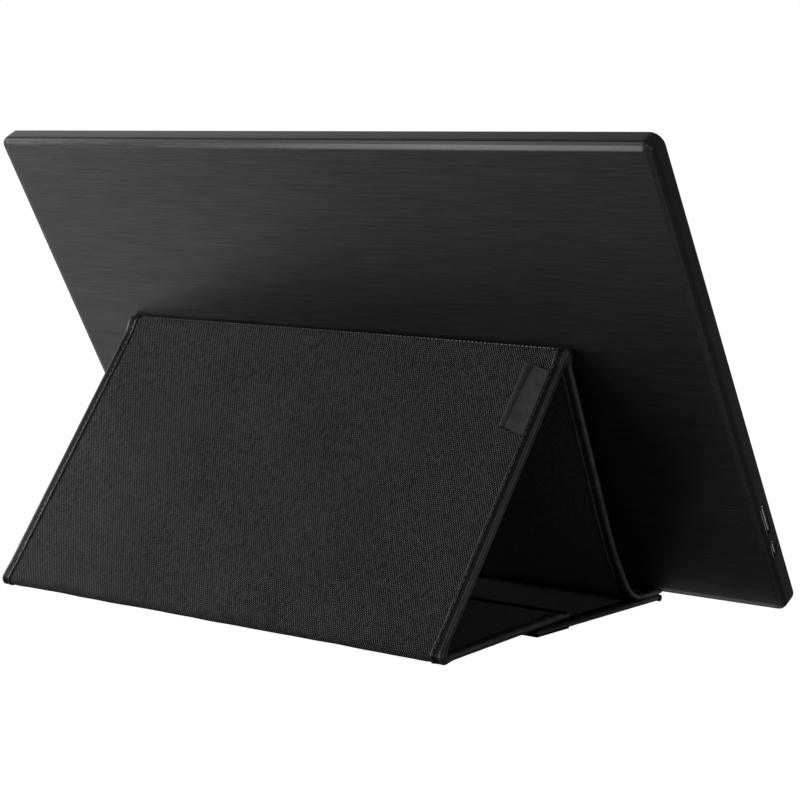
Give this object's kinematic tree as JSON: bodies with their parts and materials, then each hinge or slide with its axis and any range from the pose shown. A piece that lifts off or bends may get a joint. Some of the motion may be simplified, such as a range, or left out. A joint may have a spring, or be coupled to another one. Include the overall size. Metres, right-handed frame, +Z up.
{
  "type": "portable monitor with cover",
  "caption": "Slim portable monitor standing upright and leaning back in its fabric cover, which folds into a triangular stand with a trough for the monitor's foot.",
  "frame": {"origin": "on the ground, under the middle of the whole part", "axes": "+X to the right of somebody facing the screen, +Y to the rear, +Z up"},
  "size_m": [0.3818, 0.1694, 0.2157],
  "materials": {
    "back_metal": "dark anodised, brushed along its length",
    "frame_plastic": "fine satin",
    "screen_glass": "matt anti-glare",
    "film_white": "matt",
    "guide_clear": "clear acrylic",
    "strip_yellow": "phosphor",
    "tray_steel": "rolled sheet",
    "tape_black": "foam tape",
    "circuit_board": "solder mask",
    "flex_film": "film",
    "screw_steel": "zinc plated",
    "socket_steel": "nickel plated",
    "blade_plastic": "moulded",
    "switch_metal": "moulded",
    "light_lens": "clear",
    "button_plastic": "satin",
    "stiffener_board": "pressed board",
    "woven_fabric": "plain weave",
    "lining_fabric": "plain weave",
    "binding_leather": "smooth imitation leather",
    "magnet_metal": "nickel plated",
    "label_leather": "satin imitation leather"
  },
  "bodies": {
    "base": {"base_board": "stiffener_board", "base_underside": "lining_fabric", "base_lining": "lining_fabric", "base_binding": "binding_leather", "base_front_hem": "binding_leather", "base_end_pad": "binding_leather", "base_magnets": "magnet_metal", "trough_board": "stiffener_board", "trough_fabric": "woven_fabric", "trough_backing": "lining_fabric", "trough_binding": "binding_leather", "front_seam": "lining_fabric", "leg_fold_roll": "woven_fabric"},
    "leg": {"leg_board": "stiffener_board", "leg_fabric": "woven_fabric", "leg_lining": "lining_fabric", "leg_binding": "binding_leather", "ridge_roll": "woven_fabric"},
    "rear_panel": {"rear_board": "stiffener_board", "rear_fabric": "woven_fabric", "rear_lining": "lining_fabric", "rear_binding": "binding_leather", "label_tab": "label_leather", "rear_fold_roll": "woven_fabric"},
    "flap": {"flap_board": "stiffener_board", "flap_fabric": "woven_fabric", "flap_lining": "lining_fabric", "flap_binding": "binding_leather", "flap_magnets": "magnet_metal"},
    "monitor": {"back_cover": "back_metal", "front_frame": "frame_plastic", "lcd_cell": "screen_glass", "diffuser_films": "film_white", "light_guide": "guide_clear", "reflector_sheet": "film_white", "led_strip": "strip_yellow", "panel_tray": "tray_steel", "panel_tape": "tape_black", "driver_board": "circuit_board", "panel_flex": "flex_film", "main_board": "circuit_board", "shield_can": "tray_steel", "board_screws": "screw_steel", "video_socket": "socket_steel", "video_tongue": "blade_plastic", "usb_socket": "socket_steel", "usb_tongue": "blade_plastic", "key_board": "circuit_board", "key_switches": "switch_metal", "status_light": "light_lens"},
    "power_key": {"power_button": "button_plastic"},
    "plus_key": {"plus_button": "button_plastic"},
    "minus_key": {"minus_button": "button_plastic"}
  },
  "joints": [
    {"name": "monitor_lift", "type": "slide", "parent": "base", "child": "monitor", "axis": [0, 0.4869, 0.8734], "range_m": [0, 0.25]},
    {"name": "leg_fold", "type": "hinge", "parent": "base", "child": "leg", "pos_m": [0, -0.05443, 0.01077], "axis": [-1, 0, 0], "range_deg": [0, 63]},
    {"name": "ridge_fold", "type": "hinge", "parent": "leg", "child": "rear_panel", "pos_m": [0, -0.00475, 0.12036], "axis": [1, 0, 0], "range_deg": [0, 111.6]},
    {"name": "flap_fold", "type": "hinge", "parent": "rear_panel", "child": "flap", "pos_m": [0, 0.08153, 0.0032], "axis": [-1, 0, 0], "range_deg": [0, 48.6]},
    {"name": "power_press", "type": "slide", "parent": "monitor", "child": "power_key", "axis": [0, 0.8734, -0.4869], "range_m": [0, 0.0004], "stiffness_N_per_m": 500, "springref_m": -0.001},
    {"name": "plus_press", "type": "slide", "parent": "monitor", "child": "plus_key", "axis": [0, 0.8734, -0.4869], "range_m": [0, 0.0004], "stiffness_N_per_m": 500, "springref_m": -0.001},
    {"name": "minus_press", "type": "slide", "parent": "monitor", "child": "minus_key", "axis": [0, 0.8734, -0.4869], "range_m": [0, 0.0004], "stiffness_N_per_m": 500, "springref_m": -0.001}
  ],
  "couplings": [
    {"joint": "ridge_fold", "follows": "leg_fold", "ratio": 1.7695},
    {"joint": "flap_fold", "follows": "leg_fold", "ratio": 0.7695}
  ]
}
